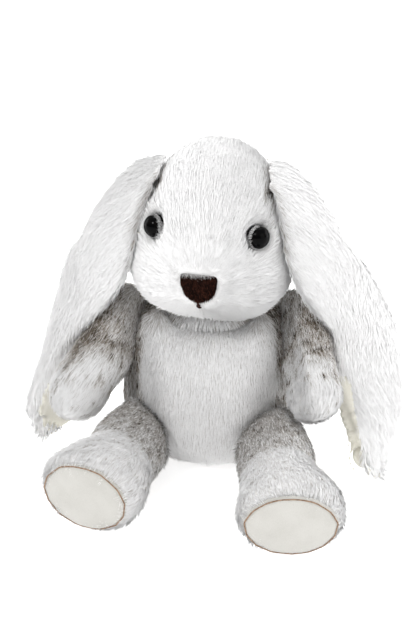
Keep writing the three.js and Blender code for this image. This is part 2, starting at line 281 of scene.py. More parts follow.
class Tone(Enum):
    """The plain colours that strands of pile are dyed in: linear colour and roughness."""

    SNOW = (grey(0.92, 0.002), 0.8)
    PEARL = (grey(0.80, 0.006), 0.8)
    SILVER = (grey(0.52, 0.05), 0.8)
    TAUPE = (grey(0.23, 0.16), 0.85)
    UMBER = (grey(0.055, 0.30), 0.85)
    COCOA = ((0.008, 0.003, 0.0022, 1.0), 0.8)
    CHESTNUT = ((0.060, 0.020, 0.012, 1.0), 0.7)

    def material(self) -> bpy.types.Material:
        """The tone's material, made once."""
        name = "pile_" + self.name.lower()
        found = bpy.data.materials.get(name)
        if found:
            return found
        colour, roughness = self.value
        look = Look(name, Base_Color=colour, Roughness=roughness)
        look.surface.inputs["Specular IOR Level"].default_value = 0.2 if colour[1] > 0.05 else 0.05
        look.surface.inputs["Sheen Weight"].default_value = 0.25 if colour[1] > 0.05 else 0.0
        look.surface.inputs["Sheen Roughness"].default_value = 0.5
        return look.material


@dataclass(frozen=True)
class Undercoat:
    """The woven backing and wool under the pile, from pale to dark as the frost and painted shade stored on
    the mesh rise.
    """

    name: str
    pale: Shade
    dark: Shade

    def material(self) -> bpy.types.Material:
        """Builds the material."""
        look = Look(self.name, Roughness=0.95, Sheen_Weight=0.3)
        graph, place = look.graph, look.place()
        frost = (look.attribute("frost") / 5.0 + (graph.noise(place, 420.0) - 0.5) * 0.3).held()
        look.link("Base Color", graph.mix(frost, self.pale, self.dark))
        look.bump(graph.noise(place, 1600.0, 3.0), 0.5, 0.6 * MM)
        return look.material


@dataclass(frozen=True)
class Velour:
    """Short cut velour: a fine grain, with soft clouds where the pile lies another way."""

    name: str
    light: Shade
    deep: Shade

    def material(self) -> bpy.types.Material:
        """Builds the material."""
        look = Look(self.name, Roughness=0.9, Sheen_Weight=0.5, Sheen_Roughness=0.45)
        graph, place = look.graph, look.place()
        grain = graph.noise(place, 1500.0, 2.0)
        clouds = graph.noise(place, 70.0, 3.0)
        weave = graph.noise(graph.vector("MULTIPLY", place, (1.0, 1.0, 0.25)), 2400.0, 1.0)
        share = (grain * 0.35 + clouds * 0.55 + weave * 0.2 - 0.2).ramp(0.15, 0.75)
        look.link("Base Color", graph.mix(share, self.light, self.deep))
        look.bump(grain * 0.7 + weave * 0.5, 0.35, 0.35 * MM)
        return look.material


@dataclass(frozen=True)
class EyePlastic:
    """Black glossy plastic with a faint brown haze in it."""

    name: str

    def material(self) -> bpy.types.Material:
        """Builds the material."""
        look = Look(self.name, Roughness=0.05, Specular_IOR_Level=0.06)
        graph = look.graph
        haze = graph.noise(look.place(), 260.0, 3.0).ramp(0.4, 0.7)
        black, brown = (0.0006, 0.0006, 0.0008, 1.0), (0.002, 0.0014, 0.0012, 1.0)
        look.link("Base Color", graph.mix(haze, black, brown))
        return look.material


@dataclass(frozen=True)
class Thread:
    """Sewing thread, twisted along its run."""

    name: str
    colour: Shade
    shadow: Shade

    def material(self) -> bpy.types.Material:
        """Builds the material."""
        look = Look(self.name, Roughness=0.75, Specular_IOR_Level=0.1)
        graph = look.graph
        share = graph.noise(look.place(), 900.0, 2.0).ramp(0.4, 0.65)
        look.link("Base Color", graph.mix(share, self.colour, self.shadow))
        return look.material


@dataclass(frozen=True)
class Plain:
    """A plain moulded or woven finish with a slight mottle."""

    name: str
    colour: Shade
    roughness: float

    def material(self) -> bpy.types.Material:
        """Builds the material."""
        look = Look(self.name, Roughness=self.roughness)
        graph = look.graph
        darker = tuple(0.9 * c for c in self.colour[:3]) + (1.0,)
        share = graph.noise(look.place(), 500.0, 2.0)
        look.link("Base Color", graph.mix(share, self.colour, darker))
        return look.material


WHITE_BACKING = Undercoat("white_backing", grey(0.86, 0.004), grey(0.16, 0.1))
GREY_BACKING = Undercoat("grey_backing", grey(0.78, 0.02), grey(0.08, 0.25))
SOLE_VELOUR = Velour("sole_velour", (0.515, 0.505, 0.475, 1.0), (0.41, 0.40, 0.37, 1.0))
LINING_VELOUR = Velour("lining_velour", (0.76, 0.74, 0.66, 1.0), (0.62, 0.60, 0.51, 1.0))
BLACK_EYE = EyePlastic("black_eye")
BROWN_THREAD = Thread("brown_thread", (0.035, 0.012, 0.008, 1.0), (0.015, 0.005, 0.004, 1.0))
TAN_THREAD = Thread("tan_thread", (0.33, 0.23, 0.16, 1.0), (0.16, 0.10, 0.065, 1.0))
SATIN_RIBBON = Plain("satin_ribbon", (0.85, 0.84, 0.82, 1.0), 0.4)
CLEAR_PLASTIC = Plain("washer_plastic", (0.75, 0.75, 0.71, 1.0), 0.45)


# ---- Meshes ---------------------------------------------------------------------------------------


def new_object(name: str, bm: bmesh.types.BMesh) -> bpy.types.Object:
    """Turns a bmesh into a smooth-shaded object in the scene, and frees the bmesh."""
    mesh = bpy.data.meshes.new(name)
    bmesh.ops.recalc_face_normals(bm, faces=bm.faces)
    bm.to_mesh(mesh)
    bm.free()
    mesh.shade_smooth()
    made = bpy.data.objects.new(name, mesh)
    bpy.context.scene.collection.objects.link(made)
    return made


def copy_of_nodes(name: str, nodes: Iterable[str]) -> bpy.types.Object:
    """One object with copies of some CAD nodes' meshes."""
    bm = bmesh.new()
    for node in nodes:
        bm.from_mesh(frame["nodes"][node].data)
    return new_object(name, bm)


def apply_modifiers(made: bpy.types.Object) -> None:
    """Replaces an object's mesh with what its modifiers make of it."""
    graph = bpy.context.evaluated_depsgraph_get()
    mesh = bpy.data.meshes.new_from_object(made.evaluated_get(graph), depsgraph=graph)
    old = made.data
    made.modifiers.clear()
    made.data = mesh
    mesh.name = old.name + "_mesh"
    bpy.data.meshes.remove(old)


def tube(name: str, points: list[Vector], radius: float, closed: bool) -> bpy.types.Object:
    """A round thread along some points, as a closed mesh.

    Args:
        name: The object's name.
        points: Where it runs.
        radius: Its radius.
        closed: Whether the last point joins the first.

    Returns:
        The mesh object.
    """
    curve = bpy.data.curves.new(name, "CURVE")
    curve.dimensions = "3D"
    curve.bevel_depth = radius
    curve.bevel_resolution = 2
    curve.use_fill_caps = True
    spline = curve.splines.new("POLY")
    spline.points.add(len(points) - 1)
    for target, point in zip(spline.points, points):
        target.co = (*point, 1.0)
    spline.use_cyclic_u = closed
    source = bpy.data.objects.new(name + "_path", curve)
    bpy.context.scene.collection.objects.link(source)
    graph = bpy.context.evaluated_depsgraph_get()
    mesh = bpy.data.meshes.new_from_object(source.evaluated_get(graph))
    bpy.data.objects.remove(source)
    bm = bmesh.new()
    bm.from_mesh(mesh)
    bpy.data.meshes.remove(mesh)
    bmesh.ops.remove_doubles(bm, verts=bm.verts, dist=1e-6)
    return new_object(name, bm)


def dress(
    made: bpy.types.Object,
    body: str,
    replaces: Iterable[str] = (),
    material: bpy.types.Material | None = None,
) -> bpy.types.Object:
    """Says what a finished piece moves with, stands for and is made of.

    Args:
        made: The piece.
        body: The CAD body it rides on.
        replaces: CAD nodes that it is shown in place of.
        material: Its material, where it doesn't have one yet.

    Returns:
        The same piece.
    """
    if material:
        made.data.materials.clear()
        made.data.materials.append(material)
    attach(made, body)
    if replaces:
        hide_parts(*replaces)
    log.info("%s: %d faces on %s", made.name, len(made.data.polygons), body)
    return made


class Nearness:
    """How far points are from one CAD node's surface."""

    def __init__(self, node: str) -> None:
        """Indexes the node's faces."""
        mesh = frame["nodes"][node].data
        self.tree = BVHTree.FromPolygons(
            [v.co for v in mesh.vertices], [p.vertices for p in mesh.polygons]
        )

    def distances(self, points: np.ndarray) -> np.ndarray:
        """The distance of each point, in metres."""
        return np.array([self.tree.find_nearest(Vector(p))[3] for p in points])


def falloff(distance: np.ndarray, width_mm: float) -> np.ndarray:
    """1 at no distance, fading to 0 over a width."""
    return np.exp(-((distance / (width_mm * MM)) ** 2))


def smoothstep(value: np.ndarray, low: float, high: float) -> np.ndarray:
    """0 below one number, 1 above another, and smooth between."""
    t = np.clip((value - low) / (high - low), 0.0, 1.0)
    return t * t * (3 - 2 * t)


# ---- Stuffed bodies -------------------------------------------------------------------------------


class Body:
    """A smooth stuffed body wrapped over some CAD nodes, with the pile's plan stored on it.

    The plan is a set of arrays with one entry for each vertex: which way the pile is combed, how
    far it stands up, how long it is, how frosted and how darkened by painted shade, and how thick it grows.
    """

    def __init__(self, name: str, nodes: Iterable[str], inset: float, relax: int = 16) -> None:
        """Notes what to wrap.

        Args:
            name: The body's name.
            nodes: The CAD nodes whose outside it follows.
            inset: How far under their surface it lies, to leave room for the pile.
            relax: How many rounds of smoothing melt the facets away.
        """
        self.name = name
        self.nodes = tuple(nodes)
        self.inset = inset
        self.relax = relax
        self.object: bpy.types.Object = None
        self.points = np.empty((0, 3))
        self.normals = np.empty((0, 3))

    def wrap(
        self, centre: Vector, along: Vector, radii: tuple[float, float, float], detail: int = 5
    ) -> "Body":
        """Shrinks a round sphere on to the nodes, then smooths and insets it.

        Args:
            centre: The middle of the starting ellipsoid.
            along: The direction of its third radius.
            radii: Its three radii in millimetres, which clear the nodes.
            detail: How finely the sphere is divided.

        Returns:
            This body.
        """
        target = copy_of_nodes(self.name + "_target", self.nodes)
        bm = bmesh.new()
        bmesh.ops.create_icosphere(bm, subdivisions=detail, radius=1.0)
        turn = along.normalized().to_track_quat("Z", "Y").to_matrix().to_4x4()
        size = Matrix.Diagonal((*(Vector(radii) * MM), 1.0))
        bmesh.ops.transform(bm, matrix=Matrix.Translation(centre) @ turn @ size, verts=bm.verts)
        self.object = new_object(self.name, bm)
        wrap = self.object.modifiers.new("project", "SHRINKWRAP")
        wrap.target = target
        wrap.wrap_method = "PROJECT"
        wrap.use_negative_direction = True
        wrap.use_positive_direction = False
        catch = self.object.modifiers.new("catch", "SHRINKWRAP")
        catch.target = target
        catch.wrap_method = "NEAREST_SURFACEPOINT"
        self._finish_shape()
        bpy.data.objects.remove(target)
        return self

    def melt(self, voxel: float) -> "Body":
        """Makes the body from thin nodes by remeshing a copy of them, then smooths and insets it."""
        self.object = copy_of_nodes(self.name, self.nodes)
        remesh = self.object.modifiers.new("remesh", "REMESH")
        remesh.mode = "VOXEL"
        remesh.voxel_size = voxel * MM
        self._finish_shape()
        return self

    def adopt(self, model: bpy.types.Object) -> "Body":
        """Takes a copy of a finished object as the body."""
        self.object = model.copy()
        self.object.data = model.data.copy()
        self.object.name = self.name
        bpy.context.scene.collection.objects.link(self.object)
        self.read()
        return self

    def discard(self) -> None:
        """Removes a body that was only needed to plant strands on."""
        bpy.data.objects.remove(self.object)

    def _finish_shape(self) -> None:
        """Smooths the mesh and draws it in from the solids' surface."""
        self.smooth(self.relax)
        self.move(self.normals * (-self.inset * MM))

    def read(self) -> None:
        """Reads the mesh back into arrays."""
        mesh = self.object.data
        mesh.update()
        self.points = np.empty(len(mesh.vertices) * 3)
        mesh.vertices.foreach_get("co", self.points)
        self.points = self.points.reshape(-1, 3)
        self.normals = np.empty(len(mesh.vertices) * 3, np.float32)
        mesh.vertex_normals.foreach_get("vector", self.normals)
        self.normals = self.normals.reshape(-1, 3).astype(float)

    def move(self, offsets: np.ndarray) -> None:
        """Moves every vertex by its own offset."""
        self.object.data.vertices.foreach_set("co", (self.points + offsets).ravel())
        self.read()

    def smooth(self, rounds: int) -> None:
        """Applies the waiting modifiers and that many rounds of smoothing."""
        relax = self.object.modifiers.new("relax", "SMOOTH")
        relax.factor = 0.5
        relax.iterations = rounds
        apply_modifiers(self.object)
        self.object.data.shade_smooth()
        self.read()

    def swell(self, heights: np.ndarray) -> None:
        """Moves every vertex out along its normal, by millimetres."""
        self.move(self.normals * (np.broadcast_to(heights, len(self.points)) * MM)[:, None])

    def near(self, node: str) -> np.ndarray:
        """Each vertex's distance from a CAD node."""
        return Nearness(node).distances(self.points)

    def along_surface(self, directions: np.ndarray) -> np.ndarray:
        """Directions laid flat on the surface, each with a length of 1."""
        flat = directions - (directions * self.normals).sum(1, keepdims=True) * self.normals
        return flat / np.maximum(np.linalg.norm(flat, axis=1, keepdims=True), 1e-6)

    def store(self, **plan: np.ndarray) -> None:
        """Keeps arrays of the plan on the mesh, under their own names."""
        for name, values in plan.items():
            values = np.broadcast_to(values, (len(self.points),) + np.shape(values)[1:])
            kind, key = ("FLOAT_VECTOR", "vector") if values.ndim == 2 else ("FLOAT", "value")
            found = self.object.data.attributes.get(name)
            attribute = found or self.object.data.attributes.new(name, kind, "POINT")
            attribute.data.foreach_set(key, np.ascontiguousarray(values, np.float32).ravel())


# ---- Pile -----------------------------------------------------------------------------------------


@dataclass(frozen=True)
class Strand:
    """One kind of strand: the tone of its lower and upper half, and how much it curls over."""

    root: Tone
    tip: Tone
    curl: float

    def build(self, name: str, radius: float) -> bpy.types.Object:
        """Models the strand upright on Z, one unit long, leaning towards -X as it curls.

        Args:
            name: The object's name, which sets its place in the strand set.
            radius: The radius at its root, as a share of its length.

        Returns:
            The mesh object.
        """
        bm = bmesh.new()
        bmesh.ops.create_cone(
            bm, cap_ends=True, segments=3, radius1=radius, radius2=0.0, depth=1.0,
            matrix=Matrix.Translation((0, 0, 0.5)),
        )
        bmesh.ops.remove_doubles(bm, verts=bm.verts, dist=1e-7)
        bmesh.ops.bisect_plane(
            bm, geom=[*bm.verts, *bm.edges, *bm.faces], plane_co=(0, 0, 0.5), plane_no=(0, 0, 1)
        )
        for vert in bm.verts:
            if 0.1 < vert.co.z < 0.9:
                vert.co.x *= 1.75
                vert.co.y *= 1.75
        for face in bm.faces:
            face.material_index = int(face.calc_center_median().z > 0.5)
        for vert in bm.verts:
            vert.co.x -= self.curl * vert.co.z**2
            vert.co.z -= 0.35 * self.curl * vert.co.z**2
        bmesh.ops.triangulate(bm, faces=bm.faces)
        made = new_object(name, bm)
        made.data.materials.append(self.root.material())
        made.data.materials.append(self.tip.material())
        return made


class StrandSet:
    """Strands from the palest to the darkest, two shapes of each, for a pile to pick from."""

    def __init__(self, name: str, tones: Iterable[tuple[Tone, Tone]], radius: float) -> None:
        """Models the strands in a collection of their own.

        Args:
            name: The collection's name.
            tones: Root and tip of each kind, from pale to dark.
            radius: The radius at a strand's root, as a share of its length.
        """
        self.collection = bpy.data.collections.new(name)
        self.kinds = 0
        for root, tip in tones:
            for curl in (0.12, 0.34):
                made = Strand(root, tip, curl).build(f"{name}_{self.kinds:02d}", radius)
                bpy.context.scene.collection.objects.unlink(made)
                self.collection.objects.link(made)
                self.kinds += 1

    def discard(self) -> None:
        """Removes the loose strands once every pile is made."""
        for strand in list(self.collection.objects):
            bpy.data.objects.remove(strand)
        bpy.data.collections.remove(self.collection)


class PileGrower:
    """The geometry nodes that grow a pile on a body, by the plan stored on the body's mesh."""

    def __init__(self) -> None:
        """Builds the node group once for all piles."""
        self.tree = bpy.data.node_groups.new("pile", "GeometryNodeTree")
        interface = self.tree.interface
        interface.new_socket("Geometry", in_out="OUTPUT", socket_type="NodeSocketGeometry")
        kinds = {
            "Geometry": "NodeSocketGeometry",
            "Strands": "NodeSocketCollection",
            "Kinds": "NodeSocketInt",
            "Density": "NodeSocketFloat",
            "Seed": "NodeSocketInt",
            "Clumping": "NodeSocketFloat",
        }
        self.sockets = {
            name: interface.new_socket(name, in_out="INPUT", socket_type=kind).identifier
            for name, kind in kinds.items()
        }
        self.graph = Graph(self.tree)
        self._build()

    def _named(self, name: str, kind: str = "FLOAT") -> Socket:
        """A stored array of the plan, as a field."""
        node = self.graph.node("GeometryNodeInputNamedAttribute", {"data_type": kind}, {"Name": name})
        return self.graph.output(node, "Attribute")

    def _random(self, seed: int, low: float = 0.0, high: float = 1.0) -> Socket:
        """A random number for each strand."""
        node = self.graph.node(
            "FunctionNodeRandomValue", {"data_type": "FLOAT"}, {"Min": low, "Max": high, "Seed": seed}
        )
        return self.graph.output(node, "Value")

    def _build(self) -> None:
        """Lays out the nodes."""
        graph = self.graph
        given = graph.node("NodeGroupInput")
        taken = {name: graph.output(given, name) for name in self.sockets}
        scatter = graph.node(
            "GeometryNodeDistributePointsOnFaces",
            {"distribute_method": "RANDOM"},
            {
                "Mesh": taken["Geometry"],
                "Density": taken["Density"] * self._named("density"),
                "Seed": taken["Seed"],
            },
        )
        place = graph.output(graph.node("GeometryNodeInputPosition"))
        kept = graph.node(
            "GeometryNodeStoreNamedAttribute",
            {"data_type": "FLOAT_VECTOR", "domain": "POINT"},
            {
                "Geometry": graph.output(scatter, "Points"),
                "Name": "skin_normal",
                "Value": graph.output(scatter, "Normal"),
            },
        )
        up = self._named("skin_normal", "FLOAT_VECTOR")
        tufts = graph.vector("SUBTRACT", graph.noise(place, 95.0, 1.0, "Color"), (0.5, 0.5, 0.5))
        fine = graph.vector("SUBTRACT", graph.noise(place, 420.0, 1.0, "Color"), (0.5, 0.5, 0.5))
        stray = graph.node(
            "FunctionNodeRandomValue",
            {"data_type": "FLOAT_VECTOR"},
            {"Min": (-1.0, -1.0, -1.0), "Max": (1.0, 1.0, 1.0), "Seed": 3},
        )
        comb = self._named("comb", "FLOAT_VECTOR")
        leaning = graph.vector("ADD", comb, graph.scaled(up, self._named("lift")))
        leaning = graph.vector("ADD", leaning, graph.scaled(tufts, taken["Clumping"] * 1.6))
        leaning = graph.vector("ADD", leaning, graph.scaled(fine, taken["Clumping"] * 1.1))
        leaning = graph.vector("ADD", leaning, graph.scaled(graph.output(stray, "Value"), 0.13))
        turn = graph.node(
            "FunctionNodeAxesToRotation",
            {"primary_axis": "Z", "secondary_axis": "X"},
            {"Primary Axis": leaning, "Secondary Axis": up},
        )
        length = self._named("length") * self._random(5, 0.72, 1.12)
        flecks = graph.noise(graph.vector("MULTIPLY", place, (1.0, 1.0, 0.55)), 230.0, 2.0).ramp(0.5, 0.72)
        frost = self._named("frost")
        spread = 0.7 + frost.held(0.0, 2.0) * 0.6
        # The stored frost darkens each strand's tone; it holds both the frosted grey and painted shade.
        shade = frost + (self._random(7) - 0.5) * spread + flecks * self._named("fleck") * 3.4
        level = graph.math("FLOOR", shade.held(0.0, 5.99))
        kind = (level * 2.0 + self._random(11).above(0.5)).held(0.0, taken["Kinds"] - 1.0)
        strands = graph.node(
            "GeometryNodeCollectionInfo",
            None,
            {"Collection": taken["Strands"], "Separate Children": True, "Reset Children": True},
        )
        planted = graph.node(
            "GeometryNodeInstanceOnPoints",
            None,
            {
                "Points": graph.output(kept, "Geometry"),
                "Instance": graph.output(strands),
                "Pick Instance": True,
                "Instance Index": kind,
                "Rotation": graph.output(turn),
                "Scale": length,
            },
        )
        real = graph.node("GeometryNodeRealizeInstances", None, {"Geometry": graph.output(planted)})
        graph.node("NodeGroupOutput", None, {"Geometry": graph.output(real)})

    def grow(
        self,
        body: Body,
        name: str,
        strands: StrandSet,
        per_mm2: float,
        clumping: float = 0.3,
        soften: float = 0.72,
        floor: float = 0.25,
    ) -> bpy.types.Object:
        """Grows one pile and leaves it as a plain mesh.

        Args:
            body: What it grows on.
            name: The pile's name.
            strands: What it is made of.
            per_mm2: Strands to a square millimetre where the plan's density is 1.
            clumping: How much neighbouring strands gather into tufts.
            soften: How far each strand is shaded like the surface that it grows on.
            floor: The lowest that a strand may reach, in millimetres.

        Returns:
            The pile.
        """
        per_mm2 = min(per_mm2, MOST_STRANDS / self._covered_mm2(body))
        made = bpy.data.objects.new(name, body.object.data.copy())
        bpy.context.scene.collection.objects.link(made)
        modifier = made.modifiers.new("pile", "NODES")
        modifier.node_group = self.tree
        seed = sum(map(ord, name))
        for key, value in {
            "Strands": strands.collection,
            "Kinds": strands.kinds,
            "Density": per_mm2 * 1e6 * 1.0,
            "Seed": seed,
            "Clumping": clumping,
        }.items():
            modifier[self.sockets[key]] = value
        apply_modifiers(made)
        self._press(made, floor * MM)
        self._soften(made, soften)
        return made

    @staticmethod
    def _covered_mm2(body: Body) -> float:
        """The area that a pile covers, with each face weighed by the plan's density."""
        mesh = body.object.data
        density = np.empty(len(body.points), np.float32)
        mesh.attributes["density"].data.foreach_get("value", density)
        return sum(f.area * density[list(f.vertices)].mean() for f in mesh.polygons) * 1e6

    @staticmethod
    def _press(made: bpy.types.Object, floor: float) -> None:
        """Presses strands that reach under the seat flat against it."""
        count = len(made.data.vertices)
        points = np.empty(count * 3, np.float32)
        made.data.vertices.foreach_get("co", points)
        points = points.reshape(-1, 3)
        under = points[:, 2] < floor
        points[under, 2] = floor + 0.02 * (points[under, 2] - floor)
        made.data.vertices.foreach_set("co", points.ravel())
        made.data.update()

    @staticmethod
    def _soften(made: bpy.types.Object, share: float) -> None:
        """Turns the shading normals of strands towards those of the surface under them."""
        mesh = made.data
        count = len(mesh.vertices)
        under, own = np.empty(count * 3, np.float32), np.empty(count * 3, np.float32)
        mesh.attributes["skin_normal"].data.foreach_get("vector", under)
        mesh.vertex_normals.foreach_get("vector", own)
        mixed = (under * share + own * (1 - share)).reshape(-1, 3)
        mixed /= np.maximum(np.linalg.norm(mixed, axis=1, keepdims=True), 1e-6)
        mesh.shade_smooth()
        for attribute in [a.name for a in mesh.attributes if not (a.is_internal or a.is_required)]:
            if attribute in PLAN or attribute == "skin_normal":
                mesh.attributes.remove(mesh.attributes[attribute])
        mesh.normals_split_custom_set_from_vertices(mixed)


# ---- Sub-assemblies -------------------------------------------------------------------------------


@dataclass
class Head:
    """The head: its stuffed body, the side and face pile, the eyes, the nose and the mouth."""

    grower: PileGrower
    fur: StrandSet
    nose_fur: StrandSet
    inset: float = 3.0
    pile: float = 7.6
    eye_radius: float = 7.0
    eye_sink: float = 3.1

    def build(self) -> None:
        """Makes every piece of the head."""
        body = Body("head_body", ["head_shell", "face_panel", "head_stuffing"], self.inset, 14)
        body.wrap(HEAD_TO_TOY @ Vector((0, -8 * MM, 154 * MM)), Vector((0, 0, 1)), (66, 66, 72), 6)
        back = HEAD_TO_TOY.inverted()
        local = body.points @ np.array(back.to_3x3()).T + np.array(back.translation)
        seam = body.near("head_shell") - body.near("face_panel")
        eyes = np.minimum(*[body.near(f"eye_{s.word}") for s in Side])
        ears = np.minimum(*[body.near(f"ear_outer_{s.word}") for s in Side])
        nose = body.near("nose")
        x, y, z = (local / MM).T
        outside = smoothstep(-seam / MM, 0.5, 4)
        # Painted shade: two dented crease spots high on the head, where the pile is darkened.
        shaded_crease = falloff(np.hypot(np.abs(x) - 34, z - 184) * MM, 2.6) * (y < 0)
        # Painted shade: the faint creases up from the nose are dented and their pile darkened.
        smile = self._smile(local)
        # Painted shade: the cleft under the mouth is dented and its pile darkened.
        cleft = falloff(x * MM, 1.6) * (z < 124) * (y < -30)
        body.swell(-1.4 * shaded_crease - 1.0 * smile - 1.3 * cleft + 3.2 * falloff(eyes, 7) + 2.8 * falloff(nose, 9))

        away = local - np.array(NOSE) + np.array([0, 0.0, 0.004])
        away[:, 2] += 0.012 * smoothstep(z, 140, 170)
        over_nose = falloff(nose, 3.2) * smoothstep(z, 137, 139.5)
        away += over_nose[:, None] * np.array([0, 0, -0.06])
        comb = body.along_surface(away @ np.array(HEAD_TO_TOY.to_3x3()).T)
        length = self.pile - 3.6 * falloff(eyes, 5) - 4.2 * falloff(nose, 6) * (1 - over_nose) - 1.0 * shaded_crease
        patch = outside * smoothstep(z, 136, 150) * smoothstep(-y, -6, 16)
        # Painted shade: the pile beside the hanging ears is darkened further.
        frost = 0.10 + 0.7 * patch + 2.2 * patch * falloff(ears, 8) + 3.8 * shaded_crease + 2.6 * smile
        frost = frost + 0.5 * outside * smoothstep(y, 0, 30)
        covered = smoothstep(eyes / MM, 0.0, 0.3) * smoothstep(nose / MM, 0.0, 0.4)
        under = smoothstep(-body.normals[:, 2], 0.93, 0.99)
        lift = 0.25 + 0.4 * falloff(eyes, 3.5) + 0.1 * over_nose
        body.store(comb=comb, lift=lift, length=length * MM, frost=frost + 0.8 * cleft, fleck=0.25 * patch)
        for name, side, node in (("face_pile", seam, "face_panel"), ("head_pile", -seam, "head_shell")):
            thinned = 1.0 if node == "face_panel" else 1 - 0.6 * smoothstep(y, -4, 14)
            body.store(density=covered * (1 - under) * (side > 0) * thinned)
            pile = self.grower.grow(body, name, self.fur, 1.9, 0.09, 0.9)
            dress(pile, "head", [node])
        dress(body.object, "head", ["head_stuffing"], WHITE_BACKING.material())
        for side in Side:
            self._eye(side)
        self._nose()
        self._mouth(body)

    @staticmethod
    def _smile(local: np.ndarray) -> np.ndarray:
        """How much each point lies in one of the two faint creases that run up from the nose; the pile there
        is darkened as painted shade.
        """
        depth = np.zeros(len(local))
        for side in Side:
            for share in np.linspace(0.0, 1.0, 9):
                x, z = 10.5 + 6.0 * share, 138.5 + 6.5 * share
                away = np.hypot(local[:, 0] - side.value * x * MM, local[:, 2] - z * MM)
                weight = (1.0 if side is Side.RIGHT else 0.45) * (1 - 0.6 * share)
                depth = np.maximum(depth, weight * falloff(away, 1.1) * (local[:, 1] < -0.03))
        return depth

    def _eye(self, side: Side) -> None:
        """Models one domed eye on its post, in place of the solid."""
        node = f"eye_{side.word}"
        points = np.array([v.co for v in frame["nodes"][node].data.vertices])
        washer = np.array([v.co for v in frame["nodes"][f"eye_washer_{side.word}"].data.vertices])
        out = Vector(points.mean(0) - washer.mean(0)).normalized()
        front = points[(points @ np.array(out)) > (points @ np.array(out)).max() - 5 * MM]
        terms = np.c_[2 * front, np.ones(len(front))]
        centre = np.linalg.lstsq(terms, (front**2).sum(1), rcond=None)[0][:3]
        sideways = 2.6 if side is Side.RIGHT else 1.9
        centre = Vector(centre) - out * (self.eye_sink * MM) + Vector((sideways * MM * side.value, 0, 0))
        turn = out.to_track_quat("Z", "Y").to_matrix().to_4x4()
        bm = bmesh.new()
        bmesh.ops.create_icosphere(bm, subdivisions=5, radius=self.eye_radius * MM)
        bmesh.ops.scale(bm, vec=(1.0, 1.0, 0.94), verts=bm.verts)
        bmesh.ops.create_cone(
            bm, cap_ends=True, segments=24, radius1=2 * MM, radius2=2 * MM, depth=8 * MM,
            matrix=Matrix.Translation((0, 0, -9 * MM)),
        )
        bmesh.ops.transform(bm, matrix=Matrix.Translation(centre) @ turn, verts=bm.verts)
        made = new_object(f"eye_dome_{side.word}", bm)
        fringe = Body(f"eye_fringe_{side.word}", [], 0.0).adopt(made)
        offset = (fringe.points - np.array(centre)) / (self.eye_radius * MM)
        height = offset @ np.array(out)
        inner = smoothstep(-offset[:, 0] * side.value, -0.3, 0.5)
        flow = np.array(out) + inner[:, None] * np.array([0.5 * side.value, 0, 0.25])
        band = smoothstep(height, -0.2, 0.0) * (1 - smoothstep(height, 0.15, 0.3))
        fringe.store(
            comb=fringe.along_surface(flow), lift=0.35, length=(1.1 + 0.8 * inner) * MM,
            frost=0.1, fleck=0.0, density=band * (0.4 + 0.6 * inner),
        )
        pile = self.grower.grow(fringe, f"eye_fringe_pile_{side.word}", self.fur, 7.0, 0.25, 0.85)
        fringe.discard()
        dress(pile, "head")
        dress(made, "head", [node], BLACK_EYE.material())

    def _nose(self) -> None:
        """Makes the nose patch with its short stitched pile."""
        body = Body("nose_patch", ["nose"], 0.2, 10).melt(0.55)
        spread = body.points - body.points.mean(0)
        body.move(spread * np.array([0.12, 0.0, 0.1]) + np.array([0, 0.8, 1.0]) * MM)
        facing = np.array(HEAD_TO_TOY.to_3x3() @ Vector((0, -1, 0)))
        front = smoothstep(body.normals @ facing, 0.2, 0.6)
        body.store(
            comb=body.along_surface(np.tile([0.0, -0.2, -1.0], (len(body.points), 1))),
            lift=0.3, length=3.0 * MM, frost=0.9, fleck=0.4, density=front,
        )
        pile = self.grower.grow(body, "nose_pile", self.nose_fur, 7.0, 0.4, 0.35)
        dress(pile, "head")
        brow = body.points[:, 2].max()
        top = smoothstep(body.points[:, 2], brow - 1.6 * MM, brow - 0.6 * MM)
        body.store(frost=0.1, fleck=0.0, length=2.0 * MM, lift=0.4, density=top)
        dress(self.grower.grow(body, "nose_fringe", self.fur, 8.0, 0.3, 0.85), "head")
        dress(body.object, "head", ["nose"], BROWN_THREAD.material())

    @staticmethod
    def _mouth(face: Body) -> None:
        """Models the one long stitch under the nose, laid on the face."""
        low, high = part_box("mouth_stitch")
        surface = BVHTree.FromPolygons(
            [v.co for v in face.object.data.vertices], [p.vertices for p in face.object.data.polygons]
        )
        points = []
        for share in np.linspace(0, 1, 9):
            height = high.z + 1 * MM - share * (high.z - low.z) * 0.85
            start = Vector(((low.x + high.x) / 2, low.y - 30 * MM, height))
            hit, normal, _, _ = surface.ray_cast(start, Vector((0, 1, 0)))
            points.append(hit + normal * ((2.4 - 1.6 * share) * MM))
        made = tube("mouth_thread", points, 0.7 * MM, False)
        dress(made, "head", ["mouth_stitch"], BROWN_THREAD.material())


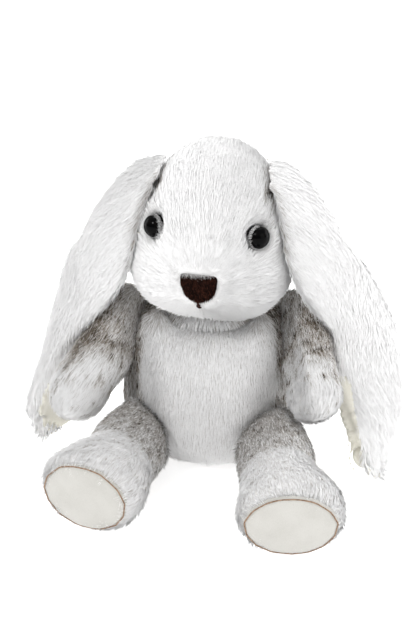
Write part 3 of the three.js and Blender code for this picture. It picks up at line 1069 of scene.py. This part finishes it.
@dataclass
class Ear:
    """One hanging ear: its padded leaf with pile on the outside, and the velour lining."""

    side: Side
    grower: PileGrower
    fur: StrandSet
    pile: float = 7.8

    @property
    def flare(self) -> float:
        """How far the lower half spreads towards the body, in millimetres."""
        return 19.0 if self.side is Side.LEFT else 11.0

    def _spread(self, body: Body) -> np.ndarray:
        """Draws the root up to the head and spreads the inner edge of the leaf.

        Args:
            body: The leaf.

        Returns:
            How much each vertex lies in the strip near the tip that is turned out to show its lining.
        """
        x, y, z = (body.points / MM).T
        out = x * self.side.value
        levels = np.linspace(z.min(), z.max(), 24)
        inner = np.array([out[np.abs(z - level) < 6].min() for level in levels])
        outer = np.array([out[np.abs(z - level) < 6].max() for level in levels])
        width = np.interp(z, levels, outer) - np.interp(z, levels, inner)
        share = np.clip((np.interp(z, levels, outer) - out) / width, 0, 1)
        low = smoothstep(z, -2, 18) * (1 - smoothstep(z, 60, 100))
        high = smoothstep(z, 90, 130)
        root = falloff(body.near("head_shell"), 11)
        inward = share**0.8 * (self.flare * low + 3.5 * high) + 2.5 * root - 1.2 * (1 - share)
        shift = np.zeros_like(body.points)
        shift[:, 0] = -self.side.value * inward
        shift[:, 1] = -1.0 * root
        shift[:, 2] = 4.0 * root
        body.move(shift * MM)
        body.smooth(7)
        return (1 - smoothstep(z, 52, 74)) * smoothstep(z, 8, 16) * smoothstep(share, 0.6, 0.7)

    def build(self) -> None:
        """Makes every piece of the ear."""
        word = self.side.word
        outer, lining = f"ear_outer_{word}", f"ear_lining_{word}"
        leaf = Body(f"ear_leaf_{word}", [outer, lining], -0.3, 5).melt(1.3)
        turned = leaf.near(lining) / MM - leaf.near(outer) / MM
        from_head = leaf.near("head_shell")
        turned -= 14 * self._spread(leaf)
        down = np.tile([0.10 * self.side.value, 0.0, -1.0], (len(leaf.points), 1))
        down[:, 0] += self.side.value * 1.2 * falloff(from_head, 26)
        facing = smoothstep(-leaf.normals[:, 1], 0.35, 0.85)
        z = leaf.points[:, 2] / MM
        cover = 1.6 + 5.0 * smoothstep(z, 45, 95)
        rim = smoothstep(turned, -cover - 1.0, -cover + 0.6)
        edge = falloff(turned * MM, 1.6) * facing
        # Painted shade: the front of the leaf is darkened close to the head.
        frost = 0.10 + 2.6 * falloff(from_head, 7) * facing + 0.9 * edge * smoothstep(z, 40, 90)
        leaf.store(
            comb=leaf.along_surface(down), lift=0.34, length=(self.pile - 3.2 * falloff(from_head, 5)) * MM,
            frost=frost, fleck=0.16 + 0.5 * edge, density=rim,
        )
        pile = self.grower.grow(leaf, f"ear_pile_{word}", self.fur, 1.25, 0.24, 0.78)
        dress(pile, f"ear_{word}", [outer])
        velour = Body(f"ear_velour_{word}", [], 0.0).adopt(leaf.object)
        velour.swell(0.35 - 1.2 * smoothstep(turned, -cover - 0.5, -cover + 0.8))
        dress(velour.object, f"ear_{word}", [lining], LINING_VELOUR.material())
        dress(leaf.object, f"ear_{word}", (), WHITE_BACKING.material())


@dataclass
class Torso:
    """The torso with its belly panel, the neck, the tail and the label."""

    grower: PileGrower
    fur: StrandSet
    inset: float = 2.0
    pile: float = 6.6
    ribbon: tuple[float, float] = (12.0, 19.0)

    def build(self) -> None:
        """Makes every piece of the torso."""
        nodes = ["torso_shell", "belly_panel", "torso_stuffing", "bean_pouch"]
        body = Body("torso_body", nodes, self.inset, 18)
        body.wrap(Vector((0, 1, 47)) * MM, Vector((0, 0, 1)), (66, 60, 62), 5)
        seam = body.near("torso_shell") - body.near("belly_panel")
        arms = np.minimum(*[body.near(f"arm_shell_{s.word}") for s in Side])
        legs = np.minimum(*[body.near(f"leg_shell_{s.word}") for s in Side])
        x, y, z = (body.points / MM).T
        crease = falloff(seam, 3.0)
        sideways = np.abs(body.normals[:, 0]) ** 2 * smoothstep(z, 12, 30)
        yoke = smoothstep(z, 68, 86)
        hips = sideways * (1 - smoothstep(z, 55, 75))
        body.swell(
            3.0 * falloff(arms, 9) + 1.2 * falloff(legs, 8) + 2.6 * sideways + 3.4 * hips + 2.4 * yoke
            - 0.8 * crease
        )
        shoulders = smoothstep(z, 52, 76) * (3.5 + 14.0 * smoothstep(np.abs(x), 16, 38))
        body.move(np.c_[np.zeros(len(z)), np.zeros(len(z)), shoulders * MM])
        down = np.tile([0.0, -0.15, -1.0], (len(body.points), 1))
        outside = smoothstep(-seam / MM, 0, 3)
        corner = smoothstep(np.abs(x) + 0.5 * (z - 62), 32, 46) * smoothstep(z, 50, 66)
        frost = 0.35 + 1.5 * corner + 0.6 * smoothstep(z, 72, 90) + 0.4 * smoothstep(np.abs(x), 22, 40)
        frost = frost + outside * (1.7 + 0.6 * yoke)
        # Painted shade: the pile darkens along the dented seam and close to the arms and legs.
        frost = frost + 0.8 * crease * outside + 0.4 * outside * falloff(arms, 7) + 0.9 * falloff(legs, 4)
        bottom = smoothstep(-body.normals[:, 2], 0.75, 0.95)
        length = self.pile + 1.8 * outside - 3.0 * bottom
        body.store(
            comb=body.along_surface(down), lift=0.34, length=length * MM, frost=frost,
            fleck=0.12 + 0.75 * outside,
        )
        for name, side, node, slot in (
            ("belly_pile", seam, "belly_panel", "plush_belly"),
            ("torso_pile", -seam, "torso_shell", "plush_frosted"),
        ):
            body.store(density=(side > 0) * (1 - 0.5 * bottom) * (1 - 0.5 * smoothstep(y, 0, 20)))
            dress(self.grower.grow(body, name, self.fur, 1.5, 0.16), "torso", [node])
        dress(
            body.object, "torso", ["torso_stuffing", "bean_pouch"], GREY_BACKING.material()
        )
        self._neck()
        self._tail()
        self._label()

    def _neck(self) -> None:
        """Makes the short furred neck that the head turns on."""
        body = Body("neck_body", ["neck_stuffing"], 0.5, 4)
        body.wrap(NECK, Vector((0, 0, 1)), (24, 24, 24), 4)
        body.move((body.points - np.array(NECK)) * np.array([0.62, 0.42, -0.2]))
        x, y, z = (body.points / MM).T
        away = np.c_[x * 0.8, y * 0.8 - 2, np.full(len(x), -26.0)]
        sides = smoothstep(-np.abs(body.normals[:, 2]), -0.97, -0.8)
        front = (1 - smoothstep(np.abs(x), 10, 20)) * smoothstep(-y, 5, 18)
        body.store(
            comb=body.along_surface(away), lift=0.45, length=9.0 * MM, frost=2.9 - 1.6 * front, fleck=0.5,
            density=sides,
        )
        dress(self.grower.grow(body, "neck_pile", self.fur, 1.7), "neck")
        dress(body.object, "neck", ["neck_stuffing"], GREY_BACKING.material())

    def _tail(self) -> None:
        """Makes the pompom tail."""
        body = Body("tail_body", ["tail"], 3.6, 6)
        low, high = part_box("tail")
        middle = (low + high) / 2
        body.wrap(middle, Vector((0, 0, 1)), (19, 19, 19), 4)
        away = body.points - np.array(middle) + np.array([0, 0.01, -0.004])
        body.store(
            comb=body.along_surface(away), lift=1.1, length=9.5 * MM, frost=0.0, fleck=0.0, density=1.0
        )
        dress(self.grower.grow(body, "tail_pile", self.fur, 3.0, 0.4, 0.85), "torso", ["tail"])
        dress(body.object, "torso", (), WHITE_BACKING.material())

    def _label(self) -> None:
        """Makes the blank satin label that is sewn into the back."""
        width, length = (size * MM for size in self.ribbon)
        low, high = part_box("care_label")
        middle = (low + high) / 2
        bm = bmesh.new()
        bmesh.ops.create_grid(bm, x_segments=10, y_segments=14, size=0.5)
        bmesh.ops.scale(bm, vec=(width, length, 1.0), verts=bm.verts)
        for vert in bm.verts:
            vert.co.z = 0.9 * MM * math.sin(vert.co.y / length * 3.4)
        turn = Matrix.Rotation(-0.55, 4, "Z") @ Matrix.Rotation(math.pi / 2, 4, "Y")
        bmesh.ops.transform(bm, matrix=Matrix.Translation(middle) @ turn, verts=bm.verts)
        made = new_object("care_ribbon", bm)
        thick = made.modifiers.new("thick", "SOLIDIFY")
        thick.thickness = 0.4 * MM
        thick.offset = 0.0
        apply_modifiers(made)
        dress(made, "torso", ["care_label"], SATIN_RIBBON.material())


@dataclass
class Arm:
    """One arm with its paw."""

    side: Side
    grower: PileGrower
    fur: StrandSet
    shoulder: tuple[float, float, float] = (50, 2, 93)
    pile: float = 7.4

    @property
    def paw(self) -> Vector:
        """The middle of the paw, which differs from side to side."""
        return (Vector((64, -40, 64)) if self.side is Side.LEFT else Vector((-77.5, -31, 55.5))) * MM

    def build(self) -> None:
        """Makes every piece of the arm."""
        word = self.side.word
        top = self.side.mirrored(self.shoulder)
        along = self.paw - top
        body = Body(f"arm_body_{word}", [f"arm_shell_{word}", f"arm_stuffing_{word}"], 1.4, 12)
        body.wrap(top.lerp(self.paw, 0.52), along, (24, 24, along.length / MM * 0.5 + 24), 5)
        axis = np.array(along.normalized())
        share = ((body.points - np.array(top)) @ axis) / along.length
        folds = np.sin(share * 15 + body.points[:, 0] * 130) * smoothstep(share, -0.2, 0.2)
        outward = smoothstep(body.normals[:, 0] * self.side.value, -0.2, 0.6)
        crown = smoothstep(body.normals[:, 2], -0.1, 0.7) * (1 - smoothstep(share, 0.0, 0.4))
        body.swell(0.5 * folds + 2.6 * outward * (1 - smoothstep(share, 0.3, 0.8)) + 4.0 * crown)
        body.move(np.array([self.side.value * 1.6, 0, 0]) * MM * smoothstep(share, -0.2, 0.3)[:, None])
        front = smoothstep(-body.normals[:, 1], 0.1, 0.9)
        frost = 2.9 - 2.2 * smoothstep(share, 0.25, 1.0) - 0.3 * front * smoothstep(share, 0.2, 0.8)
        # Painted shade: the outward side is darkened, more on the right arm, and so are the troughs of the
        # folds.
        shade = 1.9 if self.side is Side.RIGHT else 1.1
        frost = frost + 0.9 * smoothstep(-folds, 0.6, 1.0)
        frost = frost + shade * outward * (1 - smoothstep(share, 0.75, 1.15))
        body.store(
            comb=body.along_surface(np.tile(axis, (len(body.points), 1))), lift=0.30,
            length=self.pile * MM, frost=frost, fleck=0.7, density=1.0,
        )
        pile = self.grower.grow(body, f"arm_pile_{word}", self.fur, 1.6, 0.24)
        dress(pile, f"arm_{word}", [f"arm_shell_{word}"])
        dress(
            body.object, f"arm_{word}", [f"arm_stuffing_{word}"], GREY_BACKING.material()
        )


@dataclass
class Leg:
    """One leg with its round foot, the velour sole and the seam round the sole."""

    side: Side
    grower: PileGrower
    fur: StrandSet
    hip: tuple[float, float, float] = (33.6, -23.2, 26)
    pile: float = 7.6
    sole_radius: float = 24.0
    sole_dome: float = 2.2

    @property
    def sole(self) -> tuple[Vector, Vector]:
        """The middle of the sole and the way it faces."""
        if self.side is Side.LEFT:
            return Vector((59, -137, 23)) * MM, Vector((0.08, -0.93, -0.34)).normalized()
        return Vector((-61, -116, 24)) * MM, Vector((-0.3, -0.93, -0.2)).normalized()

    def build(self) -> None:
        """Makes every piece of the leg."""
        word = self.side.word
        hip = self.side.mirrored(self.hip)
        middle, facing = self.sole
        along = middle - hip
        nodes = [f"leg_shell_{word}", f"leg_stuffing_{word}", f"sole_pad_{word}"]
        body = Body(f"leg_body_{word}", nodes, 1.4, 12)
        body.wrap(hip.lerp(middle, 0.55), along, (42, 42, along.length / MM * 0.5 + 26), 5)
        beyond = (body.near(f"sole_pad_{word}") - body.near(f"leg_shell_{word}")) / MM
        torso = np.minimum(body.near("torso_shell"), body.near("belly_panel"))
        share = ((body.points - np.array(hip)) @ np.array(along.normalized())) / along.length
        ankle = falloff((share - 0.52) * 0.1, 9)
        offset = body.points - np.array(middle)
        forward = offset @ np.array(facing) / MM
        radius = np.linalg.norm(offset - (forward * MM)[:, None] * np.array(facing), axis=1) / MM
        heart = smoothstep(forward, -16, -10) * (1 - smoothstep(radius, 17, 20))
        on_sole = np.maximum(1 - smoothstep(beyond, -1.8, -0.2), heart)
        flank = smoothstep(body.normals[:, 0] * self.side.value, -0.3, 0.6)
        near_rim = falloff(beyond * MM, 9) * (1 - on_sole)
        thick = (6.5 * flank - 2.5) * (1 - smoothstep(share, 0.25, 0.6)) + 1.6 * near_rim
        body.swell(-0.8 * ankle + thick)
        body.move(-np.array(facing) * (np.maximum(forward + 3.2, 0) * on_sole * MM)[:, None])
        axis = np.tile(np.array(along.normalized()), (len(body.points), 1))
        thigh = 1 - smoothstep(share, 0.34, 0.62)
        rim = 1 - smoothstep(beyond, 0, 7)
        # Painted shade: a darker band at the ankle crease, and darker pile close to the torso.
        frost = 0.16 + 2.6 * thigh + 1.3 * falloff((share - 0.5) * 0.1, 5) + 1.3 * falloff(torso, 6)
        seat = smoothstep(-body.normals[:, 2], 0.8, 0.97)
        body.store(
            comb=body.along_surface(axis), lift=0.34 + 0.1 * rim,
            length=(self.pile - 1.2 * rim - 2.4 * seat) * MM, frost=frost, fleck=0.75 - 0.25 * rim,
            density=1 - on_sole,
        )
        pile = self.grower.grow(body, f"leg_pile_{word}", self.fur, 1.45, 0.24)
        dress(pile, f"leg_{word}", [f"leg_shell_{word}"])
        dress(body.object, f"leg_{word}", [f"leg_stuffing_{word}"], GREY_BACKING.material())
        self._sole(middle, facing)

    def _sole(self, middle: Vector, facing: Vector) -> None:
        """Makes the domed velour pad and the thread round its edge."""
        word = self.side.word
        body = Body(f"sole_velour_{word}", [f"sole_pad_{word}"], -0.6, 10).melt(0.8)
        offsets = body.points - np.array(middle)
        across = offsets - (offsets @ np.array(facing))[:, None] * np.array(facing)
        radius = np.linalg.norm(across, axis=1)
        dome = self.sole_dome * MM * np.clip(1 - (radius / (self.sole_radius * MM)) ** 2, 0, 1)
        body.move(dome[:, None] * np.array(facing))
        dress(
            body.object, f"leg_{word}", [f"sole_pad_{word}"], SOLE_VELOUR.material()
        )
        right = facing.cross(Vector((0, 0, 1))).normalized()
        upright = right.cross(facing)
        side_ways, up_ways = across @ np.array(right), across @ np.array(upright)
        points = []
        for angle in np.linspace(0, 2 * math.pi, 72, endpoint=False):
            reach = side_ways * math.cos(angle) + up_ways * math.sin(angle)
            edge = body.points[int(np.argmax(reach))] - np.array(middle)
            flat = edge - (edge @ np.array(facing)) * np.array(facing)
            points.append(Vector(flat) * 0.975 + middle - facing * (0.2 * MM))
        made = tube(f"sole_seam_{word}", points, 0.4 * MM, True)
        dress(made, f"leg_{word}", (), TAN_THREAD.material())


@dataclass
class Studio:
    """A bright white sweep, soft boxes and the camera."""

    target: Vector = field(default_factory=lambda: Vector((2.6, -30, 105)) * MM)
    azimuth: float = math.radians(6)
    elevation: float = math.radians(20)
    distance: float = 0.95
    view: float = math.radians(22.9)

    def build(self) -> None:
        """Sets up floor, light and camera."""
        self._floor()
        self._world()
        self._softbox("key", Vector((-0.8, -1.5, 1.6)), 0.42, 15.5)
        self._softbox("fill", Vector((1.5, -1.1, 0.8)), 1.4, 7.0)
        self._softbox("top", Vector((0.1, 0.7, 2.0)), 1.4, 10.0)
        self._softbox("rim_right", Vector((-1.5, 0.5, 0.5)), 1.0, 8.0)
        self._softbox("rim_left", Vector((1.5, 0.5, 0.5)), 1.0, 8.0)
        self._camera()
        scene = bpy.context.scene
        scene.view_settings.view_transform = "Standard"
        scene.view_settings.look = "None"

    @staticmethod
    def _floor() -> None:
        """A wide pale floor that runs past the camera's view."""
        bm = bmesh.new()
        bmesh.ops.create_grid(bm, x_segments=1, y_segments=1, size=40.0)
        made = new_object("floor", bm)
        look = Look("floor_white", Roughness=0.9, Base_Color=(0.9, 0.9, 0.9, 1.0))
        look.surface.inputs["Emission Color"].default_value = (1.0, 1.0, 1.0, 1.0)
        look.surface.inputs["Emission Strength"].default_value = 0.6
        made.data.materials.append(look.material)

    @staticmethod
    def _world() -> None:
        """A white surround that is brightest overhead."""
        world = bpy.data.worlds.new("surround")
        world.use_nodes = True
        graph = Graph(world.node_tree)
        way = graph.output(graph.node("ShaderNodeTexCoord"), "Generated")
        height = graph.output(graph.node("ShaderNodeSeparateXYZ", None, {"Vector": way}), "Z")
        backdrop = world.node_tree.nodes["Background"]
        backdrop.inputs["Color"].default_value = (1.0, 1.0, 1.0, 1.0)
        graph.feed(backdrop.inputs["Strength"], 0.37 + height.ramp(0.1, 0.8) * 0.52)
        bpy.context.scene.world = world

    @staticmethod
    def _softbox(name: str, place: Vector, size: float, power: float) -> None:
        """One square area light aimed at the toy."""
        light = bpy.data.lights.new(name, "AREA")
        light.size = size
        light.energy = power
        made = bpy.data.objects.new(name, light)
        bpy.context.scene.collection.objects.link(made)
        made.location = place
        made.rotation_euler = (Vector((0, 0, 0.11)) - place).to_track_quat("-Z", "Y").to_euler()

    def _camera(self) -> None:
        """A long lens, a little to the toy's left and above it."""
        level = math.cos(self.elevation)
        back = Vector(
            (math.sin(self.azimuth) * level, -math.cos(self.azimuth) * level, math.sin(self.elevation))
        )
        data = bpy.data.cameras.new("camera")
        data.sensor_width = 36.0
        data.lens = data.sensor_width / 2 / math.tan(self.view / 2)
        made = bpy.data.objects.new("camera", data)
        bpy.context.scene.collection.objects.link(made)
        made.location = self.target + back * self.distance
        made.rotation_euler = (-back).to_track_quat("-Z", "Y").to_euler()
        bpy.context.scene.camera = made


def show_washers() -> None:
    """Gives the hidden eye washers their plastic."""
    for side in Side:
        washer = frame["nodes"][f"eye_washer_{side.word}"]
        washer.data.materials.clear()
        washer.data.materials.append(CLEAR_PLASTIC.material())


def main() -> None:
    """Builds the rabbit and its studio."""
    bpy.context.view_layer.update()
    grower = PileGrower()
    fur = StrandSet(
        "fur",
        [
            (Tone.SNOW, Tone.SNOW),
            (Tone.PEARL, Tone.SNOW),
            (Tone.SILVER, Tone.PEARL),
            (Tone.TAUPE, Tone.SILVER),
            (Tone.UMBER, Tone.SILVER),
            (Tone.UMBER, Tone.TAUPE),
        ],
        0.027,
    )
    nose_fur = StrandSet("nose_fur", [(Tone.COCOA, Tone.COCOA), (Tone.COCOA, Tone.CHESTNUT)], 0.045)
    Head(grower, fur, nose_fur).build()
    Torso(grower, fur).build()
    for side in Side:
        Ear(side, grower, fur).build()
        Arm(side, grower, fur).build()
        Leg(side, grower, fur).build()
    fur.discard()
    nose_fur.discard()
    show_washers()
    Studio().build()


if __name__ == "__main__":
    main()
